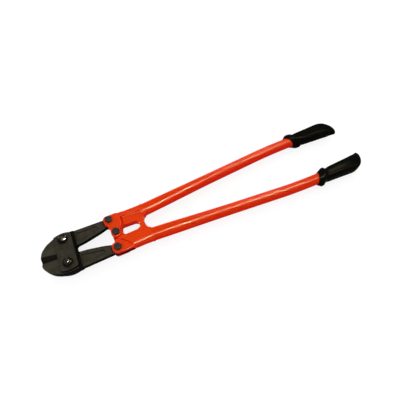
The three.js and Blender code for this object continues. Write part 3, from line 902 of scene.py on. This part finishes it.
def makeFastenerSet(tree, label, middle, values, headSeat, nutSeat, headInFront, turn, finishOf,
                    body):
    # bolt from a head seat to a nut seat on the other side, drawn with its nut in front
    nutBase = nutSeat + seat + values["washer"][1] + seat
    end = nutBase + values["nut"] + values["proud"]
    half = values["head"] / 2
    headMiddle = -headSeat - seat - half
    head = hexagon("head", tree, middle, headMiddle - half, values, values["head"], turn=turn)
    shank = threadedEnd("shank", middle, values, headMiddle, end)
    bolt = joinPieces(label + "_bolt_fine", [turnOver(head, middle[1], headMiddle), shank])
    washer = makeWasher(label + "_washer_fine", middle, values, nutSeat + seat)
    nut = hexagon(label + "_nut_fine", tree, middle, nutBase, values, values["nut"],
                  bore=values["radius"] + 0.05, bothEnds=1.0, turn=turn + 0.12)
    for piece, kind in ((bolt, "bolt"), (washer, "washer"), (nut, "nut")):
        if headInFront:
            turnOver(piece, middle[1])
        finishPiece(piece, finishOf[kind], body)


# middle line of a handle seen from above, straight and then bending towards the grip
line = {"start": (0, 32.3), "slope": 0.083, "bendFrom": 430, "bendTo": 577, "endSlope": -0.02}
tube = {"round": 14.7, "outer": 16.8, "inner": 19, "thick": 12.6, "flatUntil": 300, "wall": 2.6}


def lineY(x):
    curve = (line["endSlope"] - line["slope"]) / (2 * (line["bendTo"] - line["bendFrom"]))
    inBend = min(max(x, line["bendFrom"]), line["bendTo"]) - line["bendFrom"]
    past = max(0, x - line["bendTo"])
    return (line["start"][1] + line["slope"] * (x - past - line["start"][0])
            + curve * inBend ** 2 + line["endSlope"] * past)


def lineAngle(x):
    return math.atan(lineY(x + 0.5) - lineY(x - 0.5))


def easedBetween(x, low, high):
    share = min(max((x - low) / (high - low), 0), 1)
    return share * share * (3 - 2 * share)


def ovalRing(x, outer, inner, thick, sides=64, slant=0.0, power=1.0):
    # ring square to the handle line; its outer side faces +Y
    angle = lineAngle(x)
    ring = []
    for i in range(sides):
        turn = 2 * math.pi * i / sides
        swing = math.copysign(abs(math.cos(turn)) ** power, math.cos(turn))
        lift = math.copysign(abs(math.sin(turn)) ** power, math.sin(turn))
        across = (outer - inner) / 2 + (outer + inner) / 2 * swing
        along = -slant * across
        ring.append((x + along * math.cos(angle) - across * math.sin(angle),
                     lineY(x) + along * math.sin(angle) + across * math.cos(angle), thick * lift))
    return ring


def tubeSizes(x):
    share = easedBetween(x, seamX, tube["flatUntil"])
    return [tube[key] + (tube["round"] - tube[key]) * share for key in ("outer", "inner", "thick")]


def makeTube(name):
    stations = [seamX + 0.2 + (tubeEnd - seamX - 0.4) * i / 150 for i in range(151)]
    outside = [ovalRing(x, *tubeSizes(x), sides=96) for x in stations]
    inside = [ovalRing(x, *(size - tube["wall"] for size in tubeSizes(x)), sides=96)
              for x in stations]
    lip = [ovalRing(stations[0] - 0.2, *(size - 0.6 for size in tubeSizes(seamX)), sides=96)]
    return skin(name, lip + outside + inside[::-1] + lip, capped=False)


grip = [
    # along, outer half width, inner half width, half thickness
    (550, 16.3, 16.3, 16.3), (551, 17.4, 17.4, 17.2), (556, 20.2, 20, 19.6),
    (561.4, 23.4, 23, 22.2), (562.4, 24, 23.6, 22.8), (563.4, 24.2, 23.8, 23),
    (567.6, 24, 23.6, 22.8), (568.6, 23.6, 23.2, 22.4), (569.6, 22.8, 22.4, 21.8),
    (573, 19.8, 19.4, 19), (577, 18.4, 17.9, 17.7), (584, 18.2, 17.7, 17.6),
    (606, 19.7, 18.7, 18), (636, 22, 19.7, 18.4), (654, 23.4, 20.2, 18.4),
    (661, 23.7, 20.5, 18.3),
    (667, 23.2, 20.9, 18.1), (675, 21.2, 21.5, 17.7), (683, 17.9, 22.3, 16.9),
    (690, 13.4, 23.3, 15.8), (696, 7.8, 24.6, 14),
    (700, 0.6, 25.7, 11.8), (702.4, -6.6, 26.1, 9), (703.6, -12, 25, 5.5),
]
gripSquare = {"depth": 0.46, "shrink": 0.025}       # the body is squarish, with soft ridges
collarLean = {"slope": 0.5, "from": 574, "fade": 36}


def splineThrough(rows, parts):
    # Catmull-Rom curve through rows of numbers
    result = []
    for i in range(len(rows) - 1):
        a, b, c, d = (rows[min(max(i + k, 0), len(rows) - 1)] for k in (-1, 0, 1, 2))
        for step in range(parts):
            t = step / parts
            result.append([0.5 * (2 * q + (r - p) * t + (2 * p - 5 * q + 4 * r - s) * t ** 2
                                  + (3 * q - p - 3 * r + s) * t ** 3)
                           for p, q, r, s in zip(a, b, c, d)])
    return result + [list(rows[-1])]


def makeGrip(name):
    rings = []
    for x, outer, inner, thick in splineThrough(grip, 6):
        fade = 1 - easedBetween(x, collarLean["from"], collarLean["from"] + collarLean["fade"])
        square = easedBetween(x, 568, 590) * (1 - easedBetween(x, 676, 700))
        size = 1 - gripSquare["shrink"] * square
        rings.append(ovalRing(x, outer * size, inner * size, max(thick, 0.6) * size, 96,
                              collarLean["slope"] * fade, 1 - gripSquare["depth"] * square))
    mouthAt = grip[0][0]
    lean = collarLean["slope"]
    wall = tube["round"] + seat
    throat = [ovalRing(mouthAt + k, wall, wall, wall, 96, lean * (1 - k / 30)) for k in (0, 10, 30)]
    mouth = [ovalRing(mouthAt, *(size - 0.5 for size in grip[0][1:]), 96, lean)]
    deep = tubeEnd + seat - 1
    throat.append(ovalRing(deep, wall, wall, wall, 96))
    return skin(name, throat[::-1] + mouth + rings)


fork = {
    "half": 12, "slotHalf": 4.7, "slotRadius": 14.6, "slotEnd": 34, "clevis": 13.8, "lug": 13.1,
    "webTop": 8.9, "webBottom": 10.2, "panelFloor": 7.2, "webInner": 14.8, "stopFrom": 60,
    "stopTo": 72.5, "stopChamfer": 1.8, "lapClear": 14.6, "tangEnd": 150, "edge": 1.2,
    "lapEdge": 2.0, "ribOuter": 54.4, "ribThick": 12, "ribSquare": 0.66, "collar": 0.7,
    "pocket": (17.8, 8.6, 2.4), "pocketFloor": -7, "moatFloor": 4.5, "clevisTop": 7.5,
    "cheekGroove": (1.1, 1.0), "voxel": 0.55, "smoothing": 3,
}
slideGap = 0.35                 # between faces that slide on each other
centreDrift = 3.7               # room for the centre bolt in the lower fork as the tool opens


def slotOutline():
    tail, radius = tailPivot, fork["slotRadius"]
    end = tail.x + fork["slotEnd"]
    return rounded([
        (tail.x - farOff, tail.y - radius, 0), (tail.x, tail.y - radius, 2),
        (tail.x + radius * 0.8, tail.y - radius * 0.55, 6), (end, tail.y + 7, 2),
        (end, farOff, 0), (tail.x - farOff, farOff, 0),
    ])


def inSlot(points):
    # painted shade: a near-black colour inside the slot and the pocket
    x, y, radius = fork["pocket"]
    height = points[:, 2]
    slot = within(slotOutline(), points + np.array((-0.4, 0.4, 0)))
    slot &= np.abs(height) < fork["slotHalf"] + 0.3
    pocket = np.hypot(points[:, 0] - x, points[:, 1] - y) < radius + 0.3
    pocket &= (height < fork["webTop"] - 0.8) & (height > fork["pocketFloor"] - 1)
    return slot | pocket


def ribRing(x, grow=0.0):
    outer, inner = tubeSizes(x)[:2]
    outer = max(outer + 0.4, fork["ribOuter"] - lineY(x))
    blend = easedBetween(x, 50, seamX)
    square = fork["ribSquare"] + (0.9 - fork["ribSquare"]) * blend
    return ovalRing(x, outer + grow, inner + 0.4 + grow, fork["ribThick"] + 0.4 * blend + grow, 96,
                    power=square)


def makeFork(name, centreHole):
    tail, lug, clevis = tailPivot, fork["lug"], fork["clevis"]
    lapFace = slideGap / 2
    inner, stopFrom, stopTo = fork["webInner"], fork["stopFrom"], fork["stopTo"]
    ribStart = tail.x + pivotFastener["washer"][0] + 1.5
    rings = [ribRing(ribStart + (seamX - 4.6 - ribStart) * i / 30) for i in range(31)]
    rings += [ribRing(seamX - 3.8, fork["collar"]), ribRing(seamX - 0.6, fork["collar"]),
              ribRing(seamX + 0.1)]
    cheek = [(5.6, 23.4, 6), (12.6, 29.6, 10), (18.4, 36, 10), (22.4, 40.4, 8), (27.6, 44.2, 3)]
    clevisOutline = rounded([
        (tail.x - clevis, tail.y - clevis, clevis), (-3, tail.y - clevis - 2, 6), *cheek,
        (29.8, 47.5, 3), (31, fork["ribOuter"], 2), (6, fork["ribOuter"] + 0.3, 16),
        (tail.x - clevis, tail.y + clevis, clevis),
    ])
    lapOutline = rounded([
        (-lug, -lug, lug), (lug, -lug, lug), (lug, 8, 6), (17.2, 15.4, 5), (21.6, 21, 5),
        (21.4, 34, 14), (20.4, tail.y + clevis, 13), (tail.x - clevis, tail.y + clevis, clevis),
        (tail.x - clevis + 0.3, tail.y - 4, 12), (-lug + 1.6, 15, 12),
    ])
    webOutline = rounded([
        (8, 3.2, 0), (16, 3.2, 2.5), (17, inner - 1, 4.5), (50, inner - 2, 8),
        (stopFrom - 1, inner - 6, 7), (stopFrom, faceGap, 2), (stopTo, faceGap, 2),
        (stopTo + 1.5, 12, 8), (stopTo + 5, 19, 6), (seamX - 0.6, 20.5, 2),
        (seamX - 0.6, lineY(seamX), 0), (-8, 36, 0), (-13.4, 30, 4), (-9.6, 20.6, 5),
    ])
    panelOutline = rounded([
        (24.6, -5, 0), (24.6, 37.6, 2), (68.5, 37, 3), (73.6, 27, 6), (79, 18.5, 5), (90, 13, 0),
        (90, -5, 0),
    ])
    moatOutline = rounded([
        (13, 1, 0), (13, 9, 3), (17, 16.4, 4), (21.4, 22, 4), (21.4, 38, 1), (24.4, 38, 1),
        (24.4, 20, 4), (20.4, 13, 3), (19, 8, 2), (16.5, 4.5, 2), (16.5, 1, 0),
    ])
    floorZ, low, top = fork["panelFloor"], -fork["webBottom"], fork["webTop"]
    wide, deep = fork["cheekGroove"]
    cheekLine = [(x, y) for x, y, radius in [(-4.5, 12, 0), (-1.5, 19.5, 0)] + cheek]
    cheekOutline = [(x - 0.2, y + 0.2) for x, y in cheekLine] \
        + [(x + wide, y - wide) for x, y in cheekLine[::-1]]
    chamfer = fork["stopChamfer"]
    groove = [[(x, y, z) for y, z in ((-1, side * (edge + 1)), (chamfer + 1, side * (edge + 1)),
                                      (-1, side * (edge - chamfer - 1)))]
              for side, edge in ((1, floorZ), (-1, -low)) for x in (stopFrom - 3, stopTo + 3)]
    x, y, radius = fork["pocket"]
    cutters = [
        slab("cut", slotOutline(), -fork["slotHalf"], fork["slotHalf"]),
        rod("cut", (0, 0), fork["lapClear"], -farOff, lapFace),
        rod("cut", tail, pivotFastener["radius"] + seat, -farOff, farOff),
        rod("cut", (0, 0), centreHole, -farOff, farOff),
        slab("cut", panelOutline, floorZ, farOff), skin("cut", groove[:2]), skin("cut", groove[2:]),
        rod("cut", (x, y), radius, fork["pocketFloor"], farOff, 40),
    ]
    moats = [slab("cut", moatOutline, fork["moatFloor"], farOff),
             slab("cut", cheekOutline, -farOff, low + deep)]
    parts = [
        skin("rib", rings),
        rounding(slab("clevis", clevisOutline, -fork["half"], fork["clevisTop"]), fork["edge"]),
        rounding(slab("web", webOutline, low, top), fork["edge"]),
        rounding(slab("lap", lapOutline, lapFace, padTop), fork["lapEdge"], 5),
    ]
    for part in parts:
        carve(part, cutters if part is parts[-1] else cutters + moats, keep=True)
    discard(cutters + moats)
    tangStations = [seamX - 4 + (fork["tangEnd"] - seamX + 4) * i / 20 for i in range(21)]
    parts.append(skin("tang", [ovalRing(x, *(size - tube["wall"] - seat for size in tubeSizes(x)))
                               for x in tangStations]))
    return fuse(name, parts, fork["voxel"], fork["smoothing"])


makeCamera()
makeStudio()
print("studio ready")

makeGroups()
castEnamel = redEnamel("red enamel on castings", "cast", 0.3)
tubeEnamel = redEnamel("red enamel on tubes", "tube", 0)
# the two jaw steels differ only in painted shade and painted light on the steep edge bevels
upperSteel = phosphateSteel("upper jaw steel", "jaw", steel["shadedEdge"])
lowerSteel = phosphateSteel("lower jaw steel", "jaw", steel["litEdge"], steel["edgeShadeWidth"])
plateSteel = phosphateSteel("plate steel", "plate")
oiledSteels = {name: oiledSteel(name) for name in oiled}
gripRubber = blackRubber()
print("finishes ready")

sides = (("upper", False), ("lower", True))
for side, lower in sides:
    finishPiece(makeJaw(f"{side}_jaw_fine"), lowerSteel if lower else upperSteel,
                f"{side}_jaw", lower)
for label, lower in (("front", False), ("rear", True)):
    finishPiece(makeLinkPlate(f"{label}_link_plate_fine"), plateSteel, "head",
                lower)
print("jaws and plates ready")

for side, lower in sides:
    handle = f"{side}_handle"
    hole = pivotFastener["radius"] + seat + (centreDrift if lower else 0)
    finishPiece(makeFork(f"{side}_fork_fine", hole), castEnamel, handle, lower,
                (oiledSteels["slot shade black"], inSlot))
    finishPiece(makeTube(f"{side}_handle_tube_fine"), tubeEnamel, handle, lower)
    finishPiece(makeGrip(f"{side}_grip_fine"), gripRubber, handle, lower)
print("handles ready")

hexagonTree = hexTree()
jawFinish = {kind: oiledSteels[f"{kind} steel"] for kind in ("bolt", "washer", "nut")}
pivotFinish = dict.fromkeys(jawFinish, oiledSteels["black steel"])
for side, lower in sides:
    sign = -1 if lower else 1
    front, rear = (fork["half"], padTop) if lower else (padTop, fork["half"])
    makeFastenerSet(hexagonTree, f"{side}_jaw", (jawPivot.x, sign * jawPivot.y), jawFastener,
                    plateTop, plateTop, False, sign * 0.12, jawFinish, "head")
    makeFastenerSet(hexagonTree, f"{side}_tail", (tailPivot.x, sign * tailPivot.y),
                    pivotFastener, front, rear, True, 0.2, pivotFinish, f"{side}_handle")
makeFastenerSet(hexagonTree, "centre", (0, 0), pivotFastener, padTop, padTop, True, 0.2,
                pivotFinish, "upper_handle")
print("fasteners ready")
